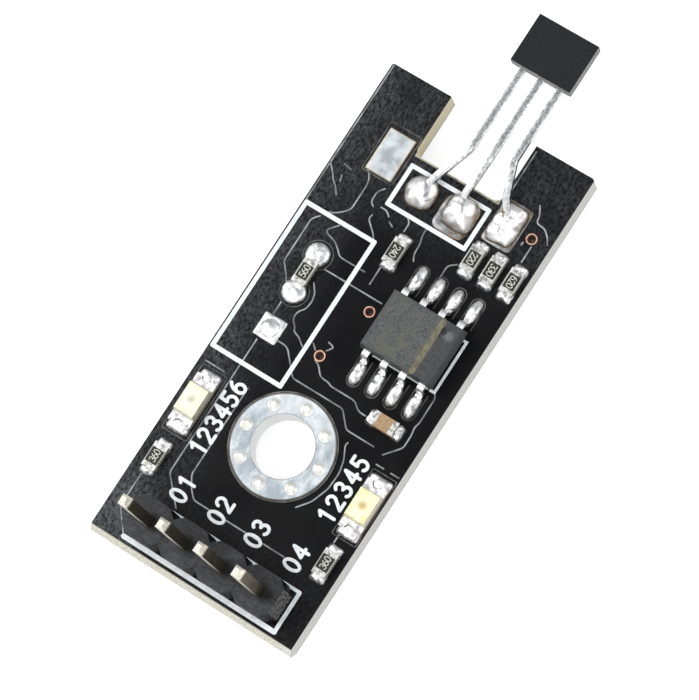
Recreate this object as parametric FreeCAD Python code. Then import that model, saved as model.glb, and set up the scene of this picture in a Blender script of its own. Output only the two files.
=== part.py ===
# Hall sensor module: a small black circuit board with a notch in one end.
# A three-legged flat sensor reaches out over the notch on long leads, an
# eight-lead comparator and small chip parts sit on the top face, and a row of
# four square pins stands up from the other end.
# Millimetres, +Z up. The origin is the centre of the mounting hole, on the
# underside of the board. The pin row is at the -Y end, the sensor at the +Y end.

import FreeCAD
import Part
import math
import os

V = FreeCAD.Vector
Z_AXIS = V(0, 0, 1)

# Board
board_width = 14.0
board_thickness = 1.6
hole_from_left_edge = 7.1
hole_from_header_end = 9.5
board_corner_radius = 0.15
score_reach = 0.35
score_web_thickness = 0.5

# Notch between the two prongs
notch_width = 5.9
notch_depth = 4.0
right_prong_width = 4.0
notch_corner_radius = 0.45

# Plated mounting hole with its ring of filled vias
hole_diameter = 3.8
hole_barrel_wall = 0.2
ring_width = 1.25
plating = 0.05
ring_via_count = 8
ring_via_diameter = 0.76
ring_via_height = 0.1

# Small plain vias
via_bore_diameter = 0.32
via_rim_width = 0.18
prong_via_from_right_edge = 1.22
prong_via_offset = -0.1
upper_via_from_comparator = 0.85
upper_via_offset = 0.15
lower_via_from_comparator = 1.9
lower_via_offset = -3.52

# Pin header
pin_count = 4
pin_pitch = 2.54
pin_width = 0.64
pin_height_above_base = 6.0
pin_tail_below_board = 1.4
pin_tip_length = 0.5
pin_tip_width = 0.3
pin_row_from_header_end = 1.72
pin_row_offset = 0.2
header_base_width = 2.5
header_base_height = 2.5
header_notch_along = 0.5
header_notch_across = 0.45
pin_hole_clearance = 0.115
header_pad_width = 0.44
header_solder_height = 1.0
header_solder_neck = 0.08

# Comparator in an eight-lead gull-wing package
comparator_length = 4.9
comparator_width = 3.9
comparator_height = 1.45
comparator_standoff = 0.12
comparator_draft = 0.12
comparator_from_right_edge = 1.2
comparator_from_ring = 1.92
comparator_dimple_diameter = 0.8
comparator_dimple_depth = 0.08
comparator_dimple_inset = 0.85
lead_count_per_side = 4
lead_pitch = 1.27
lead_width = 0.42
lead_thickness = 0.2
lead_span = 6.0
lead_foot = 0.62
lead_leg_run = 0.1
lead_bend_radius = 0.22
lead_root = 0.25
land_width = 0.72
land_overhang = 1.0
land_inner_reach = 2.3
land_end_clip = 0.22
lead_solder_height = 0.42
lead_solder_slope = 0.13

# Two-terminal chips: resistors and a capacitor
chip_length = 1.6
chip_width = 0.88
resistor_height = 0.45
capacitor_height = 0.75
chip_band = 0.34
chip_metal = 0.05
chip_land_overhang = 0.42
chip_land_side = 0.1
solder_film = 0.05
chip_solder_height = 0.36
solder_hollow_out = 0.32
solder_hollow_up = 0.38
chip_row_pitch = 1.35
chip_row_from_right_edge = 0.73
chip_row_from_lands = 0.57
feed_resistor_from_lands = 1.07
feed_resistor_along = 3.87
capacitor_from_lands = 0.42
capacitor_offset = 1.2

# Light-emitting diodes, one by each long edge
led_length = 3.2
led_width = 1.42
led_base_height = 0.4
led_lens_height = 0.45
led_lens_length = 2.0
led_lens_slope = 0.12
led_band = 0.58
led_castellation_diameter = 0.7
led_land_overhang = 0.5
led_solder_height = 0.4
led_left_from_edge = 0.52
led_right_from_edge = 0.16
led_offset = -0.53
led_resistor_gap = 0.52
led_resistor_aside = 0.09

# Trimmer place with two pads bridged by a chip resistor
trimmer_hole_diameter = 0.9
trimmer_pad_width = 0.4
trimmer_pad_pitch = 2.54
trimmer_dome_height = 0.5
trimmer_square_pad_width = 0.35
trimmer_square_plate = 0.1
trimmer_square_dome_diameter = 1.3
trimmer_square_height = 0.26
trimmer_from_left_edge = 2.6
trimmer_from_comparator = -1.1

# Sensor pads by the notch
wide_pad_width = 1.85
wide_pad_length = 2.9
wide_pad_from_notch = 0.2
wide_pad_from_chips = 0.22
wide_pad_beyond_notch_floor = 0.7
bare_pad_height = 0.12
sensor_pad_pitch = 2.67
sensor_pad_from_notch = 1.8
round_pad_diameter = 1.95
round_solder_height = 0.8
square_pad_width = 1.95
square_solder_height = 0.85
wide_solder_height = 0.75
cushion_corner_radius = 0.5
cushion_shoulder = 0.35

# Sensor: a flat package with chamfered sides and three long leads
sensor_width = 4.05
sensor_height = 3.2
sensor_thickness = 1.52
sensor_back_thickness = 0.78
sensor_face_width = 3.1
sensor_end_draft = 0.12
sensor_offset = 0.02
sensor_from_notch_floor = 7.25
sensor_lead_rise = 1.1
sensor_lead_pitch = 1.27
sensor_lead_width = 0.41
sensor_lead_thickness = 0.38
sensor_lead_root = 0.6
sensor_lead_bend_radius = 0.8
sensor_lead_touch = 0.55
sensor_lead_seat = 0.34
sensor_lead_drop = 0.5
sensor_lead_end = 0.2
left_lead_kink = 1.8
left_lead_aside = 0.45
middle_lead_kink = 2.4
middle_lead_aside = 0.22
right_lead_kink = 2.4
right_lead_aside = 0.8
right_lead_over_notch = 0.4

# Round solder joints are faceted, to keep the model light
solder_sides = 18
dome_levels = 3

# How far a cutter reaches past the faces that it opens
past = 1.0

# Sizes that follow from the ones above
ring_diameter = hole_diameter + 2 * ring_width
ring_via_circle_diameter = hole_diameter + ring_width
via_rim_diameter = via_bore_diameter + 2 * via_rim_width
pin_hole_diameter = pin_width * math.sqrt(2) + pin_hole_clearance
header_solder_diameter = pin_hole_diameter + 2 * header_pad_width
trimmer_pad_diameter = trimmer_hole_diameter + 2 * trimmer_pad_width
trimmer_square_pad = trimmer_hole_diameter + 2 * trimmer_square_pad_width

# Places worked out from the sizes above, from the mounting hole outwards
top = board_thickness
left_edge = -hole_from_left_edge
right_edge = left_edge + board_width
header_end = -hole_from_header_end
pin_row_y = header_end + pin_row_from_header_end
comparator_reach = lead_span / 2 + land_overhang
comparator_x = right_edge - comparator_from_right_edge - comparator_length / 2
comparator_y = ring_diameter / 2 + comparator_from_ring + comparator_reach
chip_reach = chip_length / 2 + chip_land_overhang
chip_row_y = comparator_y + comparator_reach + chip_row_from_lands + chip_reach
chip_row_x = right_edge - chip_row_from_right_edge
wide_pad_y = chip_row_y + chip_reach + wide_pad_from_chips + wide_pad_length / 2
notch_floor = wide_pad_y + wide_pad_length / 2 - wide_pad_beyond_notch_floor
sensor_end = notch_floor + notch_depth
notch_right = right_edge - right_prong_width
notch_left = notch_right - notch_width
sensor_pad_y = notch_floor - sensor_pad_from_notch
round_pad_x = (notch_left + notch_right - sensor_pad_pitch) / 2
square_pad_x = round_pad_x + sensor_pad_pitch
bare_pad_x = notch_left - wide_pad_from_notch - wide_pad_width / 2
wide_pad_x = notch_right + wide_pad_from_notch + wide_pad_width / 2
trimmer_x = left_edge + trimmer_from_left_edge
trimmer_y = comparator_y + trimmer_from_comparator
led_left_x = left_edge + led_left_from_edge + led_width / 2
led_right_x = right_edge - led_right_from_edge - led_width / 2
led_resistor_y = led_offset - led_length / 2 - led_land_overhang - led_resistor_gap - chip_reach
outer_lead = lead_pitch * (lead_count_per_side - 1) / 2
feed_resistor_x = (comparator_x - outer_lead - land_width / 2
                   - feed_resistor_from_lands - chip_width / 2 - chip_land_side)
feed_resistor_y = comparator_y + feed_resistor_along
capacitor_x = comparator_x + capacitor_offset
capacitor_y = (comparator_y - comparator_reach - capacitor_from_lands
               - chip_width / 2 - chip_land_side)
sensor_x = square_pad_x + sensor_offset
sensor_y = notch_floor + sensor_from_notch_floor
sensor_z = top + sensor_lead_rise

pin_places = [
    (pin_row_offset + pin_pitch * (index - (pin_count - 1) / 2), pin_row_y)
    for index in range(pin_count)
]
trimmer_places = [
    (trimmer_x, trimmer_y + trimmer_pad_pitch * step) for step in (1, 0, -1)
]
comparator_left = comparator_x - comparator_length / 2
via_places = [
    (right_edge - prong_via_from_right_edge, wide_pad_y + prong_via_offset),
    (comparator_left - upper_via_from_comparator, comparator_y + upper_via_offset),
    (comparator_left - lower_via_from_comparator, comparator_y + lower_via_offset),
]
land_resistor_places = [
    (chip_row_x - 2 * chip_row_pitch, chip_row_y),
    (chip_row_x - chip_row_pitch, chip_row_y),
    (chip_row_x, chip_row_y),
    (feed_resistor_x, feed_resistor_y),
    (led_left_x - led_resistor_aside, led_resistor_y),
    (led_right_x - led_resistor_aside, led_resistor_y),
]
bridge_place = (trimmer_x, trimmer_y + trimmer_pad_pitch / 2)


def box(x0, x1, y0, y1, z0, z1):
    return Part.makeBox(x1 - x0, y1 - y0, z1 - z0, V(x0, y0, z0))


def centred_box(x, y, length, width, z0, z1):
    return box(x - length / 2, x + length / 2, y - width / 2, y + width / 2, z0, z1)


def post(x, y, diameter, z0, z1):
    return Part.makeCylinder(diameter / 2, z1 - z0, V(x, y, z0))


def flat_face(points):
    return Part.Face(Part.makePolygon(points + points[:1]))


def prism(points, direction):
    """A flat outline pushed along a direction."""
    return flat_face(points).extrude(direction)


def rectangle(length, width, z):
    """A flat rectangular wire about the Z axis."""
    x = length / 2
    y = width / 2
    corners = [V(-x, -y, z), V(x, -y, z), V(x, y, z), V(-x, y, z)]
    return Part.makePolygon(corners + corners[:1])


def upright_edges(shape):
    """The straight edges that run along Z."""
    found = []
    for edge in shape.Edges:
        ends = [vertex.Point for vertex in edge.Vertexes]
        if len(ends) == 2 and abs((ends[1] - ends[0]).normalize().dot(Z_AXIS)) > 0.999:
            found.append(edge)
    return found


def top_edges(shape):
    """The edges of the highest flat face."""
    return max(shape.Faces, key=lambda face: face.CenterOfMass.z).Edges


def turned(x, y, z, profile):
    """A faceted round joint through (radius, height) steps, from its lowest up."""
    levels = []
    for radius, height in profile:
        corners = []
        for step in range(solder_sides):
            angle = 2 * math.pi * step / solder_sides
            corners.append(V(x + radius * math.cos(angle), y + radius * math.sin(angle), z + height))
        levels.append(corners)
    faces = [flat_face(levels[0]), flat_face(levels[-1])]
    for low, high in zip(levels, levels[1:]):
        for step in range(solder_sides):
            following = (step + 1) % solder_sides
            faces.append(flat_face([low[step], low[following], high[following], high[step]]))
    return Part.makeSolid(Part.makeShell(faces))


def dome(x, y, diameter, height, z):
    """A round cap of solder that stands on z."""
    radius = diameter / 2
    ball = (radius ** 2 + height ** 2) / (2 * height)
    cap_angle = 2 * math.atan(height / radius)
    profile = []
    for level in range(dome_levels):
        angle = cap_angle * (1 - level / dome_levels)
        profile.append((ball * math.sin(angle), height - ball * (1 - math.cos(angle))))
    return turned(x, y, z, profile)


def bump(x, y, diameter, height, z):
    """A very low crown of solder over a filled hole."""
    return turned(x, y, z, [(diameter / 2, 0), (diameter / 4, height)])


def cushion(x, y, length, width, height):
    """A block of solder on the board with round corners and sloping shoulders."""
    block = centred_box(x, y, length, width, top, top + height)
    block = block.makeFillet(cushion_corner_radius, upright_edges(block))
    return block.makeChamfer(cushion_shoulder, top_edges(block))


def rounded_path(points, radius):
    """Straight runs joined by tangent arcs, as one wire."""
    edges = []
    start = points[0]
    for before, corner, after in zip(points, points[1:], points[2:]):
        arriving = (corner - before).normalize()
        leaving = (after - corner).normalize()
        turn = arriving.getAngle(leaving)
        setback = radius * math.tan(turn / 2)
        into = corner - arriving * setback
        out = corner + leaving * setback
        inward = (leaving - arriving).normalize()
        middle = corner + inward * (radius / math.cos(turn / 2) - radius)
        edges.append(Part.makeLine(start, into))
        edges.append(Part.Arc(into, middle, out).toShape())
        start = out
    edges.append(Part.makeLine(start, points[-1]))
    return Part.Wire(edges)


def bent_strip(points, radius, section):
    """A rectangular strip that follows a rounded path."""
    return rounded_path(points, radius).makePipeShell([section], True, False)


def fused(shapes):
    whole = shapes[0]
    for shape in shapes[1:]:
        whole = whole.fuse(shape)
    return whole.removeSplitter()


def quarter_turned(shape):
    shape.rotate(V(0, 0, 0), Z_AXIS, 90)
    return shape


def make_board():
    """The bare board with its notch, its holes and the snapped header end."""
    low_web = (board_thickness - score_web_thickness) / 2
    high_web = low_web + score_web_thickness
    side_view = [
        V(left_edge, sensor_end, 0),
        V(left_edge, sensor_end, top),
        V(left_edge, header_end, top),
        V(left_edge, header_end - score_reach, high_web),
        V(left_edge, header_end - score_reach, low_web),
        V(left_edge, header_end, 0),
    ]
    board = prism(side_view, V(board_width, 0, 0))
    far_edges = [edge for edge in upright_edges(board) if edge.CenterOfMass.y > sensor_end - 1]
    board = board.makeFillet(board_corner_radius, far_edges)
    notch = box(notch_left, notch_right, notch_floor, sensor_end + past, -past, top + past)
    floor_edges = [edge for edge in upright_edges(notch) if edge.CenterOfMass.y < sensor_end]
    notch = notch.makeFillet(notch_corner_radius, floor_edges)
    bores = [(0, 0, hole_diameter + 2 * hole_barrel_wall)]
    bores += [(x, y, pin_hole_diameter) for x, y in pin_places]
    bores += [(x, y, trimmer_hole_diameter) for x, y in trimmer_places]
    bores += [(x, y, via_rim_diameter) for x, y in via_places]
    board = board.cut(notch)
    for x, y, diameter in bores:
        board = board.cut(post(x, y, diameter, -past, top + past))
    return board


def tube(x, y, bore, outside, z0, z1):
    return post(x, y, outside, z0, z1).cut(post(x, y, bore, z0, z1))


def make_mounting_ring():
    """The plated mounting hole: a barrel, two rims and eight filled vias."""
    pieces = [
        tube(0, 0, hole_diameter, hole_diameter + 2 * hole_barrel_wall, -plating, top + plating),
        tube(0, 0, hole_diameter, ring_diameter, -plating, 0),
        tube(0, 0, hole_diameter, ring_diameter, top, top + plating),
    ]
    for step in range(ring_via_count):
        angle = 2 * math.pi * step / ring_via_count
        x = ring_via_circle_diameter / 2 * math.cos(angle)
        y = ring_via_circle_diameter / 2 * math.sin(angle)
        pieces.append(bump(x, y, ring_via_diameter, ring_via_height, top + plating))
    return fused(pieces)


def make_via_rims():
    """The small open vias, each one copper tube that stands a little proud."""
    return [tube(x, y, via_bore_diameter, via_rim_diameter, -plating, top + plating) for x, y in via_places]


def make_pins():
    """Square pins with tapered tips at both ends."""
    tail = -pin_tail_below_board
    tip = top + header_base_height + pin_height_above_base
    pins = []
    for x, y in pin_places:
        sections = [
            rectangle(pin_tip_width, pin_tip_width, tail),
            rectangle(pin_width, pin_width, tail + pin_tip_length),
            rectangle(pin_width, pin_width, tip - pin_tip_length),
            rectangle(pin_tip_width, pin_tip_width, tip),
        ]
        pin = Part.makeLoft(sections, True, True)
        pin.translate(V(x, y, 0))
        pins.append(pin)
    return pins


def make_header_base(pins):
    """The moulded base: one eight-sided block for each pin, in one row."""
    along = pin_pitch / 2
    across = header_base_width / 2
    corner_x = along - header_notch_along
    corner_y = across - header_notch_across
    blocks = []
    for x, y in pin_places:
        outline = [
            V(x - corner_x, y - across, top),
            V(x + corner_x, y - across, top),
            V(x + along, y - corner_y, top),
            V(x + along, y + corner_y, top),
            V(x + corner_x, y + across, top),
            V(x - corner_x, y + across, top),
            V(x - along, y + corner_y, top),
            V(x - along, y - corner_y, top),
        ]
        blocks.append(prism(outline, V(0, 0, header_base_height)))
    row = fused(blocks)
    for pin in pins:
        row = row.cut(pin)
    return row


def make_header_solder(pins):
    """Solder that fills each pin hole and climbs the pin's tail as a cone."""
    joints = []
    foot = header_solder_diameter / 2
    neck = pin_width / 2 + header_solder_neck
    for (x, y), pin in zip(pin_places, pins):
        fill = post(x, y, pin_hole_diameter, 0, top)
        cone = turned(x, y, 0, [(neck, -header_solder_height), (foot, 0)])
        joints.append(fused([fill, cone]).cut(pin))
    return joints


def comparator_lead_path(side):
    """Centre line of one gull-wing lead, from inside the body to its toe."""
    middle = top + comparator_standoff + comparator_height / 2
    foot_z = top + solder_film + lead_thickness / 2
    inside = comparator_width / 2 - lead_root
    toe = lead_span / 2
    heel = toe - lead_foot
    knee = heel - lead_leg_run
    profile = [(inside, middle), (knee, middle), (heel, foot_z), (toe, foot_z)]
    return [V(0, comparator_y + side * across, z) for across, z in profile]


def make_comparator_leads():
    """Eight gull-wing leads, numbered round the package from its marked corner."""
    leads = []
    for side in (1, -1):
        path = comparator_lead_path(side)
        section = rectangle(lead_width, lead_thickness, 0)
        section.rotate(V(0, 0, 0), V(1, 0, 0), 90)
        section.translate(path[0])
        strip = bent_strip(path, lead_bend_radius, section)
        for index in range(lead_count_per_side):
            place = outer_lead - lead_pitch * index
            lead = strip.copy()
            lead.translate(V(comparator_x + side * place, 0, 0))
            leads.append(lead)
    return leads


def make_comparator_body(leads):
    """The moulded body: two drafted halves that meet at the leads."""
    low = top + comparator_standoff
    high = low + comparator_height
    middle = (low + high) / 2
    inset = 2 * comparator_draft
    waist = rectangle(comparator_length, comparator_width, middle)
    halves = []
    for z in (low, high):
        flat = rectangle(comparator_length - inset, comparator_width - inset, z)
        halves.append(Part.makeLoft([flat, waist], True, True))
    body = fused(halves)
    body.translate(V(comparator_x, comparator_y, 0))
    dimple_x = comparator_x + comparator_length / 2 - comparator_dimple_inset
    dimple_y = comparator_y + comparator_width / 2 - comparator_dimple_inset
    body = body.cut(post(dimple_x, dimple_y, comparator_dimple_diameter,
                         high - comparator_dimple_depth, high + past))
    for lead in leads:
        body = body.cut(lead)
    return body


def land_outline(inner, outer, width, z):
    """A long land along Y with a square inner end and a clipped outer end."""
    half = width / 2
    shoulder = outer - land_end_clip
    tip = half - land_end_clip
    points = [
        V(-half, inner, z),
        V(half, inner, z),
        V(half, shoulder, z),
        V(tip, outer, z),
        V(-tip, outer, z),
        V(-half, shoulder, z),
    ]
    return Part.makePolygon(points + points[:1])


def make_comparator_solder(leads):
    """A long fillet of solder over each foot of the comparator."""
    slope = lead_solder_slope
    low = land_outline(land_inner_reach, comparator_reach, land_width, top)
    high = land_outline(land_inner_reach + slope, comparator_reach - 2 * slope,
                        land_width - 2 * slope, top + lead_solder_height)
    fillet = Part.makeLoft([low, high], True, True)
    joints = []
    for number, lead in enumerate(leads):
        side, index = divmod(number, lead_count_per_side)
        joint = fillet.copy()
        if side:
            joint.rotate(V(0, 0, 0), Z_AXIS, 180)
        place = outer_lead - lead_pitch * index
        joint.translate(V(comparator_x + (-place if side else place), comparator_y, 0))
        joints.append(joint.cut(lead))
    return joints


def chip_ceramic(length, width, height):
    """The core of a chip, along X, between its two metal ends."""
    metal = chip_metal
    return centred_box(0, 0, length - 2 * metal, width, metal, height - metal)


def chip_end_caps(length, width, height, band):
    """Two folded metal ends that wrap the top, the end and the underside."""
    core = chip_ceramic(length, width, height)
    caps = []
    for side in (1, -1):
        block = centred_box(side * (length - band) / 2, 0, band, width, 0, height)
        caps.append(block.cut(core))
    return caps


def chip_solder(length, width, band, overhang, rise):
    """Two fillets: a film under each end and a concave slope up its face."""
    face = length / 2
    toe = face + overhang
    half_land = width / 2 + chip_land_side
    joints = []
    for side in (1, -1):
        crest = V(side * face, -half_land, rise)
        hollow = V(side * (face + overhang * solder_hollow_out), -half_land, rise * solder_hollow_up)
        tip = V(side * toe, -half_land, solder_film)
        outline = Part.Wire([
            Part.makePolygon([
                crest,
                V(side * face, -half_land, solder_film),
                V(side * (face - band), -half_land, solder_film),
                V(side * (face - band), -half_land, 0),
                V(side * toe, -half_land, 0),
                tip,
            ]),
            Part.Arc(tip, hollow, crest).toShape(),
        ])
        wedge = Part.Face(outline).extrude(V(0, 2 * half_land, 0))
        shoulder = [
            V(-toe, -half_land, 0),
            V(-toe, half_land, 0),
            V(-toe, half_land, solder_film),
            V(-toe, width / 2 - chip_land_side, rise),
            V(-toe, -width / 2 + chip_land_side, rise),
            V(-toe, -half_land, solder_film),
        ]
        joints.append(wedge.common(prism(shoulder, V(2 * toe, 0, 0))))
    return joints


def placed(shapes, x, y, z, along_y):
    """Moves shapes made at the origin to their place on the board."""
    for shape in shapes:
        if along_y:
            quarter_turned(shape)
        shape.translate(V(x, y, z))
    return shapes


def make_resistor(x, y):
    """A chip resistor along Y: its ceramic, its black coat and its metal ends."""
    ceramic = chip_ceramic(chip_length, chip_width, resistor_height)
    coat = centred_box(0, 0, chip_length - 2 * chip_band, chip_width,
                       resistor_height - chip_metal, resistor_height)
    caps = chip_end_caps(chip_length, chip_width, resistor_height, chip_band)
    return placed([ceramic, coat] + caps, x, y, top + solder_film, True)


def make_capacitor():
    """A chip capacitor along X."""
    body = chip_ceramic(chip_length, chip_width, capacitor_height)
    belt = centred_box(0, 0, chip_length - 2 * chip_band, chip_width, 0, capacitor_height)
    caps = chip_end_caps(chip_length, chip_width, capacitor_height, chip_band)
    return placed([fused([body, belt])] + caps, capacitor_x, capacitor_y, top + solder_film, False)


def make_led(x, y):
    """A chip diode along Y: base, clear lens block and half-round metal ends."""
    base = chip_ceramic(led_length, led_width, led_base_height)
    middle = centred_box(0, 0, led_length - 2 * led_band, led_width, 0, led_base_height)
    base = fused([base, middle])
    caps = chip_end_caps(led_length, led_width, led_base_height, led_band)
    for side in (1, -1):
        cutter = post(side * led_length / 2, 0, led_castellation_diameter, -past, led_base_height + past)
        base = base.cut(cutter)
        caps = [cap.cut(cutter) for cap in caps]
    lens_top = led_base_height + led_lens_height
    foot = rectangle(led_lens_length, led_width, led_base_height)
    crown = rectangle(led_lens_length - 2 * led_lens_slope, led_width - led_lens_slope, lens_top)
    lens = Part.makeLoft([foot, crown], True, True)
    return placed([base, lens] + caps, x, y, top + solder_film, True)


def make_chip_solder():
    """The fillets at both ends of every chip on the board."""
    joints = []
    for x, y in land_resistor_places:
        ends = chip_solder(chip_length, chip_width, chip_band, chip_land_overhang, chip_solder_height)
        joints += placed(ends, x, y, top, True)
    ends = chip_solder(chip_length, chip_width, chip_band, chip_land_overhang, chip_solder_height)
    joints += placed(ends, capacitor_x, capacitor_y, top, False)
    for x in (led_left_x, led_right_x):
        ends = chip_solder(led_length, led_width, led_band, led_land_overhang, led_solder_height)
        joints += placed(ends, x, led_offset, top, True)
    return joints


def make_trimmer_solder(bridge):
    """Solder in the three trimmer holes: two domes and one low square."""
    caps = [dome(x, y, trimmer_pad_diameter, trimmer_dome_height, top) for x, y in trimmer_places[:2]]
    x, y = trimmer_places[2]
    plate = centred_box(x, y, trimmer_square_pad, trimmer_square_pad, top, top + trimmer_square_plate)
    caps.append(fused([plate, dome(x, y, trimmer_square_dome_diameter, trimmer_square_height, top)]))
    joints = []
    for (x, y), cap in zip(trimmer_places, caps):
        joint = fused([post(x, y, trimmer_hole_diameter, 0, top), cap])
        for piece in bridge:
            joint = joint.cut(piece)
        joints.append(joint)
    return joints


def make_bare_pad():
    """The tinned pad on the left prong, with a thin skin of solder."""
    pad = centred_box(bare_pad_x, wide_pad_y, wide_pad_width, wide_pad_length, top, top + bare_pad_height)
    return pad.makeChamfer(bare_pad_height / 2, top_edges(pad))


def make_sensor_leads():
    """Three long leads, each bent down and sideways to its own pad."""
    low = top + sensor_lead_touch
    seat = top + sensor_lead_seat
    near = notch_floor - sensor_lead_drop
    far = notch_floor + right_lead_over_notch
    end_y = sensor_pad_y - sensor_lead_end
    kinks = [left_lead_kink, middle_lead_kink, right_lead_kink]
    touches = [
        V(round_pad_x + left_lead_aside, near, low),
        V(square_pad_x - middle_lead_aside, near, low),
        V(wide_pad_x - right_lead_aside, far, low),
    ]
    ends = [V(round_pad_x, end_y, seat), V(square_pad_x, end_y, seat), V(wide_pad_x, wide_pad_y, seat)]
    leads = []
    for index, (kink, touch, end) in enumerate(zip(kinks, touches, ends)):
        x = sensor_x + sensor_lead_pitch * (index - 1)
        path = [V(x, sensor_y + sensor_lead_root, sensor_z), V(x, notch_floor + kink, sensor_z), touch, end]
        section = rectangle(sensor_lead_width, sensor_lead_thickness, 0)
        section.rotate(V(0, 0, 0), V(1, 0, 0), 90)
        section.translate(path[0])
        leads.append(bent_strip(path, sensor_lead_bend_radius, section))
    return leads


def make_sensor_body(leads):
    """The flat moulded body, full width at its back and chamfered to its face."""
    half = sensor_width / 2
    back = sensor_z + sensor_back_thickness
    face = back - sensor_thickness
    front_view = [
        V(sensor_x - half, sensor_y, back),
        V(sensor_x + half, sensor_y, back),
        V(sensor_x + half, sensor_y, sensor_z),
        V(sensor_x + sensor_face_width / 2, sensor_y, face),
        V(sensor_x - sensor_face_width / 2, sensor_y, face),
        V(sensor_x - half, sensor_y, sensor_z),
    ]
    body = prism(front_view, V(0, sensor_height, 0))
    start = sensor_x - sensor_width
    far = sensor_y + sensor_height
    side_view = [
        V(start, sensor_y, back),
        V(start, far, back),
        V(start, far, sensor_z),
        V(start, far - sensor_end_draft, face),
        V(start, sensor_y + sensor_end_draft, face),
        V(start, sensor_y, sensor_z),
    ]
    body = body.common(prism(side_view, V(2 * sensor_width, 0, 0)))
    for lead in leads:
        body = body.cut(lead)
    return body


def make_sensor_solder(leads):
    """The three solder lumps that hold the sensor leads."""
    lumps = [
        dome(round_pad_x, sensor_pad_y, round_pad_diameter, round_solder_height, top),
        cushion(square_pad_x, sensor_pad_y, square_pad_width, square_pad_width, square_solder_height),
        cushion(wide_pad_x, wide_pad_y, wide_pad_width, wide_pad_length, wide_solder_height),
    ]
    return [lump.cut(lead) for lump, lead in zip(lumps, leads)]


def save(name, shapes):
    """Writes one node, as one solid or as a group of separate solids."""
    solids = []
    for shape in shapes:
        solids += shape.Solids
    for solid in solids:
        if not solid.isValid() or solid.Volume <= 0:
            raise ValueError("bad solid in " + name)
    whole = solids[0] if len(solids) == 1 else Part.makeCompound(solids)
    whole.exportStep("parts/" + name + ".step")


def main():
    os.makedirs("parts", exist_ok=True)
    save("circuit_board", [make_board()])
    save("mounting_hole_ring", [make_mounting_ring()])
    save("via_rims", make_via_rims())

    pins = make_pins()
    save("header_base", [make_header_base(pins)])
    for number, pin in enumerate(pins, 1):
        save("header_pin_" + str(number), [pin])
    save("header_solder", make_header_solder(pins))

    leads = make_comparator_leads()
    save("comparator_body", [make_comparator_body(leads)])
    for number, lead in enumerate(leads, 1):
        save("comparator_lead_" + str(number), [lead])
    save("comparator_solder", make_comparator_solder(leads))

    resistors = [make_resistor(x, y) for x, y in land_resistor_places + [bridge_place]]
    for number, pieces in enumerate(resistors, 1):
        save("resistor_" + str(number) + "_ceramic", [pieces[0]])
    save("resistor_coats", [pieces[1] for pieces in resistors])
    save("resistor_end_caps", [cap for pieces in resistors for cap in pieces[2:]])

    capacitor = make_capacitor()
    save("capacitor_body", capacitor[:1])
    save("capacitor_end_caps", capacitor[1:])

    leds = {"left": make_led(led_left_x, led_offset), "right": make_led(led_right_x, led_offset)}
    for side, pieces in leds.items():
        save("led_" + side + "_base", [pieces[0]])
        save("led_" + side + "_lens", [pieces[1]])
    save("led_end_caps", [cap for pieces in leds.values() for cap in pieces[2:]])

    save("chip_solder", make_chip_solder())
    for number, joint in enumerate(make_trimmer_solder(resistors[-1]), 1):
        save("trimmer_solder_" + str(number), [joint])

    save("bare_pad", [make_bare_pad()])
    sensor_leads = make_sensor_leads()
    sides = ("left", "middle", "right")
    for side, lead in zip(sides, sensor_leads):
        save("sensor_lead_" + side, [lead])
    for side, joint in zip(sides, make_sensor_solder(sensor_leads)):
        save("sensor_solder_" + side, [joint])
    save("sensor_body", [make_sensor_body(sensor_leads)])


main()
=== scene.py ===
# Looks of the hall sensor module: finishes for the frame's own solids, the white
# print and the fine lines of the board, and solder joints with their real lumps.
# Sizes are in millimetres until a mesh is made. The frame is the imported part's.

import math
import bmesh
import bpy
from mathutils import Matrix, Vector, noise


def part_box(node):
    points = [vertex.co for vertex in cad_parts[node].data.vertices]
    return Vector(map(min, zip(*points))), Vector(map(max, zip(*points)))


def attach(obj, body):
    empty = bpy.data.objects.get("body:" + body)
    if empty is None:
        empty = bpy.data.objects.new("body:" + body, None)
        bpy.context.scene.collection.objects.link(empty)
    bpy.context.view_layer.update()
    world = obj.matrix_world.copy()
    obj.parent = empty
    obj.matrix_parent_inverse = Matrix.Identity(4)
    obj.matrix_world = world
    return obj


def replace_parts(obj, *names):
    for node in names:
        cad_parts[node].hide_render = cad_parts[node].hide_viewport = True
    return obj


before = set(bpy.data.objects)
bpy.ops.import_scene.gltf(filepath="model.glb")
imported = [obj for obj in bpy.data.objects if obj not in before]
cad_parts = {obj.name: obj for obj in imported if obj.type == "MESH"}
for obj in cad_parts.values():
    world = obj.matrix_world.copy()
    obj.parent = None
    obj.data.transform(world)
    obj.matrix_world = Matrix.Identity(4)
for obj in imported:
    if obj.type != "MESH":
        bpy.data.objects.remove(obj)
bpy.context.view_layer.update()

MM = 0.001

# Camera, as the photograph was taken
camera_azimuth = 67.58
camera_elevation = 73.14
camera_roll = -35.38
camera_distance = 206.66
camera_aim = (0.185, 6.746, 1.6)
camera_lens = 185.34

# Studio
floor_level = -1.4
floor_reach = 3000.0
floor_glow = 0.72
lamp_distance = 320.0

# Board, whose middle is the origin of the places given in pairs below
board_length = 32.0
notch_depth = 4.0
notch_half_width = 2.95
bore_radius = 1.9
via_radius = 0.34
middle_via = (0.05, 2.72)
ring_via_away = 2.525
pin_pitch = 2.54
glaze_half_width = 0.36
glaze_half_length = 0.47

# Print and fine lines
line_sink = 0.004
line_height = 0.012
track_width = 0.085
edge_width = 0.05
comparator_edge_width = 0.045
ring_edge_width = 0.07
ring_edge_gap = 0.07
print_height = 0.022
label_height = 1.0
label_stroke = 0.2
label_advance = 0.88
close_label_advance = 0.83
number_height = 0.4
number_advance = 0.25
number_stroke = 0.05
stroke_step = 0.0008
stripe_from_left = 3.56
stripe_width = 0.35
thin_ink = 0.008

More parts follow.
